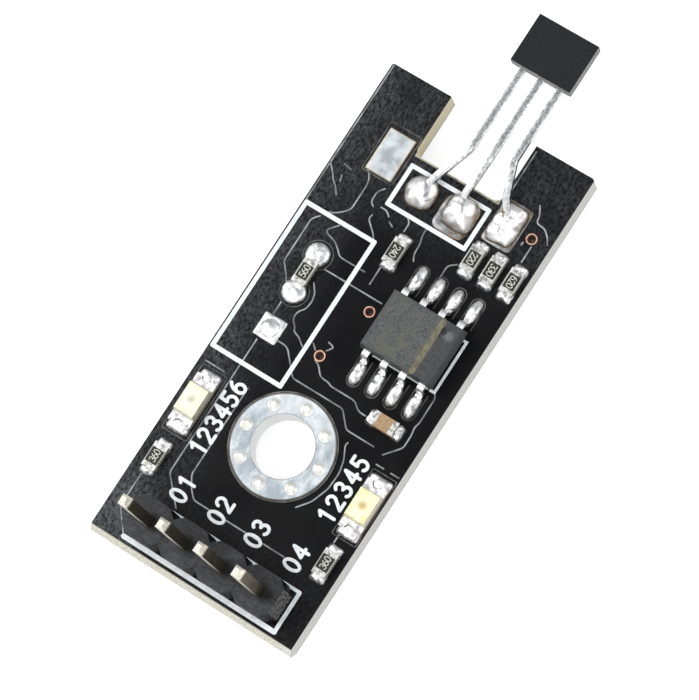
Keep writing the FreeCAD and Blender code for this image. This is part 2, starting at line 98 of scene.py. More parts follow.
# Solder joints: half width, half length and height
comparator_joint = (0.375, 0.83, 0.36)
chip_joint = (0.5, 0.38, 0.38)
capacitor_joint = (0.38, 0.5, 0.5)
lamp_joint = (0.74, 0.4, 0.36)
lamp_cut_joint = (0.365, 0.365, 0.4)
square_dome = (0.6, 0.6, 0.2)

# Lands under the joints
comparator_land_half = 0.42
square_land_height = 0.09
land_height = 0.04
hole_radius = 0.45

# Unevenness of the solder
swell_power = 0.62
outline_waves = 1.6
outline_seed_step = 3.7
top_waves = 1.7
top_seed_step = 5.3
fine_waves = 2.3


# Sizes read from the frame
def node_box(name):
    low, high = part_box(name)
    return low / MM, high / MM


def middle_of(name):
    low, high = node_box(name)
    return (low.x + high.x) / 2, (low.y + high.y) / 2


def half_of(name, less=0.0):
    low, high = node_box(name)
    return (high.x - low.x) / 2 - less, (high.y - low.y) / 2 - less


board_low, board_high = node_box("circuit_board")
top = board_high.z
middle_x = (board_low.x + board_high.x) / 2
middle_y = board_high.y - board_length / 2
notch_floor = board_high.y - notch_depth
ring_radius = node_box("mounting_hole_ring")[1].x


def from_middle(x, y):
    return (x + middle_x, y + middle_y)


def box_from_middle(left, bottom, right, upper):
    return (*from_middle(left, bottom), *from_middle(right, upper))


# Objects and meshes
def new_object(name, data):
    made = bpy.data.objects.new(name, data)
    bpy.context.scene.collection.objects.link(made)
    return made


def new_mesh_object(name, shape, material):
    mesh = bpy.data.meshes.new(name)
    shape.to_mesh(mesh)
    shape.free()
    mesh.materials.append(material)
    return new_object(name, mesh)


def new_piece(name, shape, material, slot):
    """A piece on the part's one body; only solder is shaded smooth."""
    bmesh.ops.recalc_face_normals(shape, faces=shape.faces)
    for face in shape.faces:
        face.smooth = slot == "solder"
    piece = new_mesh_object(name, shape, material)
    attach(piece, "root")
    return piece


def corner(shape, x, y, z):
    return shape.verts.new((x * MM, y * MM, z * MM))


def unit(ax, ay, bx, by):
    length = math.hypot(bx - ax, by - ay)
    return (bx - ax) / length, (by - ay) / length


def ribbon_outline(points, width, closed):
    """Left and right edge of a line, with mitred joints."""
    left = []
    right = []
    count = len(points)
    for index, (x, y) in enumerate(points):
        before = points[index - 1] if closed or index > 0 else None
        after = points[(index + 1) % count] if closed or index < count - 1 else None
        along_in = unit(*before, x, y) if before else unit(x, y, *after)
        along_out = unit(x, y, *after) if after else along_in
        nx = -(along_in[1] + along_out[1])
        ny = along_in[0] + along_out[0]
        scale = math.hypot(nx, ny) or 1.0
        nx /= scale
        ny /= scale
        stretch = max(0.5, nx * -along_in[1] + ny * along_in[0])
        reach = width / 2 / stretch
        left.append((x + nx * reach, y + ny * reach))
        right.append((x - nx * reach, y - ny * reach))
    return left, right


def round_end(centre, start, turn_steps):
    """Points of a half circle from start round the end of a line."""
    cx, cy = centre
    dx = start[0] - cx
    dy = start[1] - cy
    made = []
    for step in range(1, turn_steps):
        angle = -math.pi * step / turn_steps
        made.append((cx + dx * math.cos(angle) - dy * math.sin(angle),
                     cy + dx * math.sin(angle) + dy * math.cos(angle)))
    return made


def add_ribbon(shape, points, width, base, height, closed=False, ends=5):
    """A low closed ribbon that follows a line on a flat face."""
    left, right = ribbon_outline(points, width, closed)
    low = base - line_sink
    high = base + height
    if closed:
        join_loops(shape, left, right, low, high)
        return
    outline = left + round_end(points[-1], left[-1], ends)
    outline += right[::-1] + round_end(points[0], right[0], ends)
    lower = [corner(shape, x, y, low) for x, y in outline]
    upper = [corner(shape, x, y, high) for x, y in outline]
    tail = ends - 1
    reach = len(left)
    join_rings(shape, lower, upper)
    for ring in (lower, upper):
        starts = ring[:reach]
        backs = ring[reach + tail:2 * reach + tail][::-1]
        for index in range(reach - 1):
            shape.faces.new((starts[index], starts[index + 1], backs[index + 1], backs[index]))
        shape.faces.new(ring[reach - 1:reach + tail + 1])
        shape.faces.new(ring[2 * reach + tail - 1:] + [ring[0]])


def join_rings(shape, first, second):
    """A wall of four-sided faces between two rings of corners."""
    count = len(first)
    for index in range(count):
        after = (index + 1) % count
        shape.faces.new((first[index], first[after], second[after], second[index]))


def join_loops(shape, inner, outer, low, high):
    """A closed band between two loops with as many points."""
    rings = []
    for outline, level in ((inner, low), (inner, high), (outer, high), (outer, low)):
        rings.append([corner(shape, x, y, level) for x, y in outline])
    for first, second in zip(rings, rings[1:] + rings[:1]):
        join_rings(shape, first, second)


def ring_of(x, y, radius, steps=48):
    made = []
    for step in range(steps):
        angle = 2 * math.pi * step / steps
        made.append((x + radius * math.cos(angle), y + radius * math.sin(angle)))
    return made


def super_radius(angle, half_x, half_y, power):
    across = abs(math.cos(angle) / half_x) ** power
    along = abs(math.sin(angle) / half_y) ** power
    return (across + along) ** (-1.0 / power)


def add_lump(shape, x, y, half_x, half_y, height, seed, power=2.4, fullness=2.2, lean=(0.0, 0.0),
             lumps=0.08, ragged=0.05, base=None, plug=None, sides=44, levels=14):
    """A closed cushion of solder with an uneven outline and an uneven top."""
    base = top if base is None else base
    rings = []
    for level in range(levels):
        inward = 1.0 - level / levels
        swell = (1.0 - inward ** fullness) ** swell_power
        ring = []
        for side in range(sides):
            angle = 2 * math.pi * side / sides
            wave = noise.noise(Vector((math.cos(angle) * outline_waves, math.sin(angle) * outline_waves,
                                       seed * outline_seed_step)))
            reach = super_radius(angle, half_x, half_y, power) * (1.0 + ragged * wave * 2.0) * inward
            px = x + reach * math.cos(angle) + lean[0] * swell
            py = y + reach * math.sin(angle) + lean[1] * swell
            spot = Vector((px * top_waves, py * top_waves, seed * top_seed_step))
            bump = noise.noise(spot) + 0.5 * noise.noise(spot * fine_waves)
            ring.append(corner(shape, px, py, base + height * swell * (1.0 + lumps * bump * 2.0)))
        rings.append(ring)
    peak = corner(shape, x + lean[0], y + lean[1], base + height)
    if plug is None:
        lowest = [corner(shape, v.co.x / MM, v.co.y / MM, base - 0.01) for v in rings[0]]
        rings.insert(0, lowest)
    else:
        radius, depth = plug
        for reach, level in ((1.0, base), (1.0, base - depth + 0.12), (0.62, base - depth + 0.02)):
            circle = ring_of(x, y, reach * radius, sides)
            rings.insert(0, [corner(shape, px, py, level) for px, py in circle])
    for lower, upper in zip(rings, rings[1:]):
        join_rings(shape, lower, upper)
    for side in range(sides):
        shape.faces.new((rings[-1][side], rings[-1][(side + 1) % sides], peak))
    shape.faces.new(rings[0][::-1])


# Lines with eased corners
def eased(points, reach=0.2):
    made = [points[0]]
    for index in range(1, len(points) - 1):
        x, y = points[index]
        near = []
        for ox, oy in (points[index - 1], points[index + 1]):
            length = math.hypot(ox - x, oy - y)
            share = min(reach, length * 0.45) / length
            near.append((x + (ox - x) * share, y + (oy - y) * share))
        (ax, ay), (bx, by) = near
        for part in (0.0, 0.25, 0.5, 0.75, 1.0):
            rest = 1.0 - part
            made.append((rest * rest * ax + 2 * rest * part * x + part * part * bx,
                         rest * rest * ay + 2 * rest * part * y + part * part * by))
    made.append(points[-1])
    return made


def bow(x, y, half_x, half_y, start, end, steps=9):
    made = []
    for step in range(steps + 1):
        angle = math.radians(start + (end - start) * step / steps)
        made.append((x + half_x * math.cos(angle), y + half_y * math.sin(angle)))
    return made


def rounded_box(left, bottom, right, upper, radius):
    made = []
    for x, y, start in ((right - radius, upper - radius, 0), (left + radius, upper - radius, 90),
                        (left + radius, bottom + radius, 180), (right - radius, bottom + radius, 270)):
        made += bow(x, y, radius, radius, start, start + 90, 4)
    return made


# Plain numbers: strokes one unit high, where the first of 0 and the first of 6 close on themselves
digit_strokes = {
    "0": [bow(0.26, 0.5, 0.26, 0.5, 0, 342, 19)],
    "1": [[(0.08, 0.8), (0.3, 1.0)], [(0.3, 1.0), (0.3, 0.0)]],
    "2": [bow(0.25, 0.73, 0.25, 0.27, 170, -30), [(0.47, 0.6), (0.0, 0.0)], [(0.0, 0.0), (0.52, 0.0)]],
    "3": [bow(0.24, 0.76, 0.23, 0.24, 150, -90), bow(0.24, 0.26, 0.27, 0.26, 90, -150)],
    "4": [[(0.38, 0.0), (0.38, 1.0)], [(0.38, 1.0), (0.0, 0.3)], [(0.0, 0.3), (0.54, 0.3)]],
    "5": [[(0.48, 1.0), (0.08, 1.0)], [(0.08, 1.0), (0.05, 0.57)],
          bow(0.23, 0.31, 0.27, 0.31, 130, -145, 12)],
    "6": [bow(0.26, 0.3, 0.25, 0.3, 0, 342, 19), bow(0.46, 0.36, 0.45, 0.64, 180, 108, 6)],
}


def add_frame(shape, left, bottom, right, upper, wide):
    """A printed frame: the box runs along the middle of its lines."""
    half = wide / 2
    outer = rounded_box(left - half, bottom - half, right + half, upper + half, 0.1)
    inner = rounded_box(left + half, bottom + half, right - half, upper - half, 0.02)
    join_loops(shape, inner, outer, top - line_sink, top + print_height)


def add_number(shape, digits, start, height, advance, stroke, base, thick, along=(0.0, 1.0)):
    """Digits that run along a direction with their tops to its left; crossing strokes differ in height."""
    ax, ay = along
    ux, uy = -ay, ax
    layer = 0
    for index, digit in enumerate(digits):
        for turn, line in enumerate(digit_strokes[digit]):
            closes = turn == 0 and digit in "06"
            points = []
            for px, py in line:
                run = index * advance + px * height
                points.append((start[0] + ax * run + ux * py * height,
                               start[1] + ay * run + uy * py * height))
            layer += 1
            high = thick + stroke_step * (layer % 3)
            add_ribbon(shape, points, stroke, base, high, closed=closes)


# Materials
class Finish:
    """A procedural material whose patterns are given in millimetres."""

    def __init__(self, name, metal=0.0, specular=0.5):
        self.material = bpy.data.materials.new(name)
        self.material.use_nodes = True
        self.tree = self.material.node_tree
        self.shader = self.tree.nodes["Principled BSDF"]
        self.put(self.shader, "Metallic", metal)
        self.put(self.shader, "Specular IOR Level", specular)
        coordinates = self.node("TexCoord", {})
        self.place = coordinates.outputs["Object"]
        self.facing = coordinates.outputs["Normal"]

    def put(self, node, key, value):
        if isinstance(value, bpy.types.NodeSocket):
            self.tree.links.new(value, node.inputs[key])
        else:
            node.inputs[key].default_value = value

    def node(self, kind, inputs):
        made = self.tree.nodes.new("ShaderNode" + kind)
        for key, value in inputs.items():
            self.put(made, key, value)
        return made

    def field(self, grain, detail=3.0, stretch=(1.0, 1.0, 1.0), roughness=0.55, turn=0.0):
        rotation = (0.0, 0.0, math.radians(turn))
        mapping = self.node("Mapping", {"Vector": self.place, "Scale": stretch, "Rotation": rotation})
        texture = self.node("TexNoise", {"Vector": mapping.outputs["Vector"], "Scale": 1.0 / (grain * MM),
                                         "Detail": detail, "Roughness": roughness})
        return texture.outputs["Fac"]

    def maths(self, operation, first, second=0.0):
        made = self.node("Math", {0: first, 1: second})
        made.operation = operation
        return made.outputs[0]

    def times(self, first, second):
        return self.maths("MULTIPLY", first, second)

    def plus(self, first, second):
        return self.maths("ADD", first, second)

    def minus(self, first, second):
        return self.maths("SUBTRACT", first, second)

    def most(self, first, second):
        return self.maths("MAXIMUM", first, second)

    def absolute(self, value):
        return self.maths("ABSOLUTE", value)

    def span(self, value, low, high, to_low=0.0, to_high=1.0, smooth=True):
        made = self.node("MapRange", {"Value": value, "From Min": low, "From Max": high, "To Min": to_low,
                                      "To Max": to_high})
        made.interpolation_type = "SMOOTHSTEP" if smooth else "LINEAR"
        return made.outputs["Result"]

    def mix(self, share, first, second):
        colours = [value + (1.0,) if isinstance(value, tuple) else value for value in (first, second)]
        made = self.node("Mix", {0: share, 6: colours[0], 7: colours[1]})
        made.data_type = "RGBA"
        return made.outputs[2]

    def patches(self, grain, detail, low, high, to_low=0.0, to_high=1.0, **pattern):
        """Noise spread between two of its levels."""
        return self.span(self.field(grain, detail, **pattern), low, high, to_low, to_high)

    def speckle(self, grain, detail, low, high, first, second, **pattern):
        """Two colours mixed by noise."""
        return self.mix(self.patches(grain, detail, low, high, **pattern), first, second)

    def axis(self, name, source=None):
        return self.node("SeparateXYZ", {"Vector": source or self.place}).outputs[name]

    def away(self, name, place):
        """Distance along one axis from a place, to both sides."""
        return self.absolute(self.minus(self.axis(name), place * MM))

    def within(self, value, start, end, to_high=1.0):
        """Share that grows while a length goes from one size to another."""
        return self.span(value, start * MM, end * MM, 0.0, to_high)

    def along(self, name, start, end, to_low=0.0, to_high=1.0):
        """Share that grows between two places on an axis."""
        return self.span(self.axis(name), start * MM, end * MM, to_low, to_high)

    def turned(self, name, low, high, to_high=1.0):
        """Share by how far a face is turned towards an axis."""
        return self.span(self.axis(name, self.facing), low, high, 0.0, to_high)

    def level(self, low, high, to_high=1.0):
        """Share by how level a face lies, upper or lower."""
        return self.span(self.absolute(self.axis("Z", self.facing)), low, high, 0.0, to_high)

    def distance(self, first, second):
        return self.maths("SQRT", self.plus(self.times(first, first), self.times(second, second)))

    def from_point(self, px, py):
        """Distance in plan from a place."""
        return self.distance(self.minus(self.axis("X"), px * MM), self.minus(self.axis("Y"), py * MM))

    def from_box(self, centre, half):
        """Distance in plan outside a box, negative inside it."""
        return self.most(self.minus(self.away("X", centre[0]), half[0] * MM),
                         self.minus(self.away("Y", centre[1]), half[1] * MM))

    def from_line(self, start, end):
        """Distance in plan from a straight line between two places."""
        ux, uy = unit(*start, *end)
        length = math.hypot(end[0] - start[0], end[1] - start[1]) * MM
        dx = self.minus(self.axis("X"), start[0] * MM)
        dy = self.minus(self.axis("Y"), start[1] * MM)
        forward = self.plus(self.times(dx, ux), self.times(dy, uy))
        across = self.minus(self.times(dy, ux), self.times(dx, uy))
        beyond = self.minus(forward, self.span(forward, 0.0, length, 0.0, length, smooth=False))
        return self.distance(across, beyond)

    def nearest(self, distances):
        least = distances[0]
        for other in distances[1:]:
            least = self.maths("MINIMUM", least, other)
        return least

    def colour(self, value):
        self.put(self.shader, "Base Color", value)

    def over(self, share, value):
        """Lay another colour over the base colour so far."""
        under = self.shader.inputs["Base Color"].links[0].from_socket
        self.colour(self.mix(share, under, value))

    def blend(self, key, share, first, second):
        """A value of the shader that goes from one level to another with a share."""
        self.put(self.shader, key, self.span(share, 0.0, 1.0, first, second, smooth=False))

    def gloss(self, low, high, grain):
        self.put(self.shader, "Roughness", self.patches(grain, 2.0, 0.3, 0.7, low, high))
        return self

    def relief(self, depth, grain, detail=3.0, stretch=(1.0, 1.0, 1.0)):
        """Uneven surface, the last step of a material."""
        height = self.field(grain, detail, stretch)
        bump = self.node("Bump", {"Distance": depth * MM, "Strength": 1.0, "Height": height})
        self.put(self.shader, "Normal", bump.outputs["Normal"])
        return self.material


def make_mask():
    """Gloss black coating on the faces, bare laminate on the cut edges."""
    look = Finish("mask_black", specular=0.11)
    edge = look.level(0.98, 0.93)
    look.colour(look.mix(look.field(1.9, 5.0), (0.0012, 0.0012, 0.0016), (0.0045, 0.0045, 0.0052)))
    add_haze(look)
    burr = look.times(look.along("Y", notch_floor - 0.13, notch_floor - 0.07),
                      look.within(look.absolute(look.axis("X")), notch_half_width, notch_half_width - 0.1))
    burr = look.times(burr, look.patches(0.3, 4.0, 0.34, 0.56, 0.35, 0.9))
    look.over(burr, (0.44, 0.41, 0.31))
    look.over(edge, laminate_colour(look))
    polish = look.patches(2.4, 4.0, 0.3, 0.7, 0.22, 0.42)
    look.blend("Roughness", edge, polish, 0.75)
    return look.relief(0.008, 0.5, 5.0)


def add_haze(look):
    """Fine grey wear towards the left edge, the prongs and the header."""
    side = look.along("X", middle_x - 2.3, middle_x - 6.8, 0.0, 0.85)
    upper = look.along("Y", middle_y + 5.5, notch_floor, 0.0, 0.62)
    upper = look.times(upper, look.along("X", middle_x - 0.9, middle_x + 3.1, 1.0, 0.78))
    lower = look.times(side, look.along("Y", middle_y - 9.5, middle_y - 14.5))
    lower = look.plus(look.along("Y", middle_y - 9.5, middle_y - 15.5, 0.0, 0.25), lower)
    worn = look.most(look.most(side, upper), lower)
    worn = look.plus(worn, look.times(side, lower))
    grain = look.patches(0.18, 6.0, 0.36, 0.68, stretch=(1.0, 0.6, 1.0), roughness=0.75, turn=20.0)
    cloud = look.patches(2.2, 3.0, 0.32, 0.6, 0.55, 1.0)
    look.over(look.times(worn, look.times(grain, cloud)), (0.085, 0.087, 0.092))
    dust = look.patches(0.14, 3.0, 0.7, 0.78, 0.0, 0.5, roughness=0.8)
    look.over(look.times(dust, worn), (0.2, 0.2, 0.2))


def laminate_colour(look):
    """Pale fibrous laminate, warmer in the notch, with a painted reflection that makes the right end paler
    and greyer, dark at both coatings.
    """
    base = look.speckle(0.16, 5.0, 0.3, 0.7, (0.45, 0.42, 0.33), (0.82, 0.8, 0.72),
                        stretch=(1.0, 1.0, 4.0), roughness=0.7)
    beside = look.absolute(look.axis("X"))
    in_notch = look.times(look.along("Y", notch_floor - 0.7, notch_floor - 0.1, 0.0, 0.6),
                          look.within(beside, notch_half_width + 0.45, notch_half_width + 0.15))
    base = look.mix(in_notch, base, (0.86, 0.77, 0.52))
    # Painted reflection: the right end of the edge is painted a paler, neutral grey.
    painted_reflection_at_right = look.along("X", middle_x + 6.1, middle_x + 6.8, 0.0, 0.65)
    base = look.mix(painted_reflection_at_right, base, (0.72, 0.72, 0.715))
    rim = look.within(look.away("Z", top / 2), top / 2 - 0.1, top / 2 - 0.02)
    return look.mix(rim, base, (0.11, 0.11, 0.09))


def make_print_ink():
    look = Finish("print_white", specular=0.3)
    look.colour(look.speckle(0.35, 4.0, 0.3, 0.75, (0.79, 0.82, 0.83), (0.62, 0.66, 0.68)))
    return look.gloss(0.45, 0.7, 0.4).relief(0.004, 0.12)


def make_track():
    """Edge of a copper track that shows as a pale line through the coating."""
    look = Finish("track_grey")
    look.colour(look.speckle(0.9, 4.0, 0.35, 0.65, (0.11, 0.115, 0.12), (0.33, 0.34, 0.35)))
    return look.gloss(0.3, 0.5, 0.5).relief(0.003, 0.2)


def make_mask_edge():
    look = Finish("mask_edge_grey", specular=0.45)
    look.colour(look.speckle(0.7, 4.0, 0.35, 0.65, (0.035, 0.035, 0.034), (0.14, 0.135, 0.12)))
    return look.gloss(0.25, 0.45, 0.5).relief(0.003, 0.2)


def make_copper():
    """Via rims: a thin bright copper edge round a dark, half-covered land, with painted shade darkening down
    each hole.
    """
    look = Finish("copper_bare", metal=1.0)
    low, high = node_box("via_rims")
    places = ((high.x - via_radius, high.y - via_radius), (low.x + via_radius, low.y + via_radius),
              from_middle(*middle_via))
    nearest = look.nearest([look.from_point(*place) for place in places])
    bright = look.mix(look.field(0.2), (0.5, 0.26, 0.18), (0.8, 0.56, 0.44))
    land = look.mix(look.field(0.12), (0.03, 0.011, 0.007), (0.12, 0.045, 0.028))
    colour = look.mix(look.within(nearest, 0.255, 0.28), land, bright)
    # Painted shade: the copper darkens with depth down the hole.
    painted_hole_shade = look.along("Z", top - 0.25, top - 0.01)
    look.colour(look.mix(painted_hole_shade, (0.02, 0.008, 0.006), colour))
    return look.gloss(0.3, 0.5, 0.2).relief(0.006, 0.1)


def make_ring_tin():
    """Flat tin of the mounting ring: blotched, brown at its rim, with creamy filled vias that carry painted
    shade on their sides turned towards +Y.
    """
    look = Finish("ring_tin", metal=1.0)
    x = look.axis("X")
    y = look.axis("Y")
    blotch = look.field(0.7, 5.0, (1.0, 0.6, 1.0), 0.6, 35.0)
    look.colour(look.mix(look.span(blotch, 0.34, 0.66), (0.34, 0.385, 0.42), (0.6, 0.635, 0.655)))
    fine = look.patches(0.16, 5.0, 0.48, 0.68, 0.0, 0.55, roughness=0.7)
    look.over(fine, (0.32, 0.335, 0.34))
    look.over(look.along("Y", 0.5, 2.8, 0.0, 0.4), (0.78, 0.8, 0.8))
    wall = look.level(0.7, 0.3)
    look.over(wall, (0.7, 0.7, 0.69))
    radius = look.distance(x, y)
    outer_rim = look.within(radius, ring_radius - 0.11, ring_radius - 0.05, 0.85)
    look.over(outer_rim, (0.09, 0.08, 0.065))
    inner_rim = look.within(radius, bore_radius + 0.12, bore_radius + 0.02, 0.5)
    look.over(look.times(inner_rim, look.span(wall, 1.0, 0.0)), (0.2, 0.205, 0.21))
    via_away = from_ring_vias(look, x, y, radius)
    halo = look.absolute(look.minus(via_away, 0.43 * MM))
    look.over(look.within(halo, 0.07, 0.02, 0.35), (0.3, 0.31, 0.32))
    spot = look.within(via_away, 0.42, 0.34)
    cream = look.speckle(0.3, 4.0, 0.35, 0.65, (0.62, 0.62, 0.56), (0.84, 0.84, 0.8))
    # Painted shade: the vias' faces turned towards +Y are darkened.
    cream = look.mix(look.turned("Y", 0.05, 0.3, 0.6), cream, (0.45, 0.45, 0.41))
    look.over(spot, cream)
    look.blend("Metallic", spot, 1.0, 0.25)
    look.put(look.shader, "Roughness", look.span(blotch, 0.3, 0.7, 0.34, 0.5))
    return look.relief(0.006, 0.4, 4.0)


def from_ring_vias(look, x, y, radius):
    """Distance from the nearest of the ring's eight filled vias, by folding the circle."""
    eighth = math.pi / 4
    shifted = look.plus(look.maths("ARCTAN2", y, x), eighth / 2)
    fold = look.minus(look.maths("FLOORED_MODULO", shifted, eighth), eighth / 2)
    outward = look.minus(look.times(radius, look.maths("COSINE", fold)), ring_via_away * MM)
    return look.distance(outward, look.times(radius, look.maths("SINE", fold)))


def make_land_tin():
    """Tin at the edge of a soldered land, dulled by flux and browned at one corner."""
    look = Finish("land_tin", metal=1.0)
    low, high = node_box("sensor_solder_middle")
    look.colour(look.speckle(0.5, 4.0, 0.36, 0.64, (0.17, 0.18, 0.19), (0.36, 0.37, 0.37)))
    stain = look.within(look.from_point(high.x - 0.1, low.y + 0.2), 1.3, 0.4)
    stain = look.times(stain, look.patches(0.35, 4.0, 0.36, 0.55))
    look.over(stain, (0.15, 0.1, 0.06))
    rim = look.along("Z", top + 0.03, top + 0.015, 0.0, 0.8)
    rim = look.times(rim, look.patches(0.8, 2.0, 0.44, 0.6))
    look.over(rim, (0.21, 0.15, 0.1))
    return look.gloss(0.3, 0.5, 0.3).relief(0.008, 0.3)


def make_pad_tin():
    """Flat tin with a creamy edge, browned where the coating ends."""
    look = Finish("pad_tin", metal=1.0)
    high = node_box("bare_pad")[1]
    x, y = middle_of("bare_pad")
    half_x, half_y = half_of("bare_pad")
    blotch = look.field(0.9, 5.0)
    look.colour(look.mix(look.span(blotch, 0.36, 0.64), (0.5, 0.545, 0.565), (0.66, 0.7, 0.715)))
    edge = look.most(look.within(look.away("X", x), half_x - 0.3, half_x),
                     look.within(look.away("Y", y), half_y - 0.3, half_y))
    brown = look.most(look.along("X", high.x - 0.1, high.x - 0.03),
                      look.along("Y", high.y - 0.16, high.y - 0.06))
    look.over(edge, (0.72, 0.68, 0.58))
    look.over(brown, (0.2, 0.145, 0.105))
    look.put(look.shader, "Roughness", look.span(blotch, 0.3, 0.7, 0.24, 0.42))
    return look.relief(0.01, 0.6)


def make_solder(name="solder_bright", foot_height=0.12, foot_colour=(0.34, 0.34, 0.35),
                dull=(0.44, 0.44, 0.45), flecks=0.7, marks=(), stain=0.0):
    """Bright solder with soft grey patches, duller at its foot and where a lead is drowned in it."""
    look = Finish(name, metal=1.0)
    look.colour(look.speckle(0.5, 4.0, 0.34, 0.56, dull, (0.86, 0.86, 0.85)))
    look.over(look.patches(0.24, 3.0, 0.62, 0.7, 0.0, flecks), (0.15, 0.145, 0.15))
    for node in ("led_left_base", "led_right_base"):
        beyond = look.from_box(middle_of(node), half_of(node))
        look.over(look.within(beyond, 0.8, 0.6, 0.6), (0.8, 0.79, 0.78))
    for start, end, wide, tint in marks:
        share = look.within(look.from_line(start, end), wide, wide * 0.3)
        share = look.times(share, look.patches(0.3, 3.0, 0.3, 0.5, 0.35, 1.0))
        look.over(share, tint)
    steep = look.times(look.turned("Z", 0.9, 0.55, stain), look.patches(0.4, 4.0, 0.36, 0.58, 0.4, 1.0))
    look.over(steep, foot_colour)
    foot = look.along("Z", top + foot_height, top + 0.01, 0.0, 0.8)
    look.over(foot, foot_colour)
    return look.gloss(0.32, 0.46, 0.5).relief(0.012, 0.4, 2.0)


def make_sensor_solder():
    """The three sensor joints: flux browned at the foot, each lead a darker streak in the top."""
    marks = ((from_middle(-1.2, 11.15), from_middle(-0.72, 9.9), 0.24, (0.36, 0.35, 0.39)),
             (from_middle(1.15, 11.6), from_middle(1.6, 10.2), 0.16, (0.45, 0.44, 0.45)),
             (from_middle(3.35, 12.0), from_middle(3.75, 11.4), 0.16, (0.4, 0.3, 0.2)),
             (from_middle(3.75, 11.0), from_middle(3.95, 10.5), 0.14, (0.45, 0.45, 0.48)))
    return make_solder("solder_sensor", 0.2, (0.3, 0.21, 0.13), (0.82, 0.81, 0.8), 0.12, marks, 0.85)


def make_end_metal(name="chip_end_metal", dark=(0.24, 0.235, 0.215), bright=(0.66, 0.66, 0.63)):
    """Metal ends of the small chips, wetted unevenly."""
    look = Finish(name, metal=1.0)
    look.colour(look.speckle(0.3, 4.0, 0.34, 0.6, dark, bright, roughness=0.6))
    return look.gloss(0.34, 0.5, 0.3).relief(0.012, 0.25)


def make_lead_tin():
    look = Finish("lead_tin_bright", metal=1.0)
    look.colour(look.speckle(0.35, 3.0, 0.35, 0.6, (0.78, 0.78, 0.77), (0.96, 0.96, 0.96)))
    return look.gloss(0.32, 0.46, 0.25).relief(0.008, 0.2, 2.0)


def make_wire_tin(node):
    """A tinned sensor lead with a painted dark reflection: a ragged grey streak along its right half."""
    look = Finish("wire_tin_" + node.split("_")[-1], metal=1.0)
    places = [vertex.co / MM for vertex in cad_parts[node].data.vertices]
    low_y = min(place.y for place in places)
    high_y = max(place.y for place in places)
    upper = [place.x for place in places if place.y > high_y - 0.5]
    lower = [place.x for place in places if place.y < low_y + 0.3]
    upper_x = (min(upper) + max(upper)) / 2
    lower_x = (min(lower) + max(lower)) / 2
    straight = [place.y for place in places if abs(place.x - upper_x) < 0.24]
    centre = look.span(look.axis("Y"), low_y * MM, min(straight) * MM,
                       lower_x * MM, upper_x * MM, smooth=False)
    aside = look.minus(look.axis("X"), centre)
    ragged = look.patches(0.1, 5.0, 0.3, 0.7, -0.06 * MM, 0.06 * MM,
                          stretch=(1.0, 0.6, 1.0), roughness=0.75, turn=-8.0)
    edge = look.plus(look.absolute(look.minus(aside, 0.045 * MM)), ragged)
    # Painted dark reflection: the streak and its dull speckle darken the lead's right half.
    streak = look.times(look.within(edge, 0.2, 0.1), look.along("Y", low_y + 0.6, low_y + 3.0, 0.7, 0.95))
    dull = look.speckle(0.09, 4.0, 0.4, 0.6, (0.15, 0.155, 0.155), (0.52, 0.53, 0.53),
                        stretch=(1.0, 0.5, 1.0), roughness=0.75)
    look.colour(look.speckle(0.3, 4.0, 0.34, 0.55, (0.56, 0.58, 0.58), (0.88, 0.89, 0.89)))
    look.over(look.along("Y", low_y + 2.6, low_y + 1.4, 0.0, 0.7), (0.36, 0.375, 0.375))
    look.over(streak, dull)
    return look.gloss(0.3, 0.45, 0.3).relief(0.01, 0.15, 3.0, (1.0, 0.4, 1.0))


def make_header_plastic():
    """Moulded black plastic, streaked on top and scuffed at one end, with painted light on the near side,
    painted shadows beside the pins, and painted shade in the creases between cells and on the walls and
    notches.
    """
    look = Finish("header_plastic", specular=0.35)
    low, high = node_box("header_base")
    pin_x, pin_y = middle_of("header_pin_1")
    speck = look.patches(0.14, 5.0, 0.35, 0.7, roughness=0.7)
    look.colour(look.mix(speck, (0.005, 0.005, 0.006), (0.03, 0.03, 0.032)))
    cloud = look.patches(0.9, 5.0, 0.5, 0.66, 0.0, 0.5, stretch=(0.5, 1.0, 1.0), roughness=0.65)
    look.over(cloud, (0.045, 0.046, 0.049))
    half_way = (low.y + high.y) / 2
    streak = look.patches(0.16, 5.0, 0.46, 0.62, stretch=(0.3, 1.0, 1.0), roughness=0.75, turn=12.0)
    # Painted light: the streaks are stronger on the near half of the top.
    streak = look.times(streak, look.along("Y", half_way + 0.4, half_way, 0.15, 0.7))
    look.over(streak, (0.062, 0.064, 0.069))
    # Painted light: the near side of the top is lightened.
    painted_lit_near_side = look.along("Y", low.y + 0.95, low.y + 0.75, 0.0, 0.3)
    look.over(painted_lit_near_side, (0.036, 0.038, 0.041))
    for number in range(4):
        # Painted shadow: a dark spot just beside each pin's foot.
        painted_pin_shadow = look.from_point(pin_x + 0.4 + pin_pitch * number, pin_y)
        look.over(look.within(painted_pin_shadow, 0.75, 0.3, 0.95), (0.002, 0.002, 0.0025))
        # Painted shade: a dark line across the top between neighbouring cells.
        painted_crease_shade = look.away("X", pin_x + pin_pitch * (number + 0.5))
        look.over(look.within(painted_crease_shade, 0.07, 0.01, 0.6), (0.005, 0.005, 0.006))
    # Painted shade: steep faces, the notches among them, are a darker copy of the plastic.
    wall = look.level(0.9, 0.5)
    look.over(wall, look.mix(speck, (0.003, 0.003, 0.004), (0.009, 0.009, 0.01)))
    look.blend("Specular IOR Level", wall, 0.35, 0.05)
    scratch = look.patches(0.12, 5.0, 0.44, 0.6, stretch=(1.0, 1.0, 0.5), roughness=0.75)
    scuffed = look.times(look.turned("X", 0.8, 0.95), scratch)
    look.over(scuffed, (0.24, 0.24, 0.23))
    return look.gloss(0.42, 0.6, 0.5).relief(0.012, 0.1, 4.0)


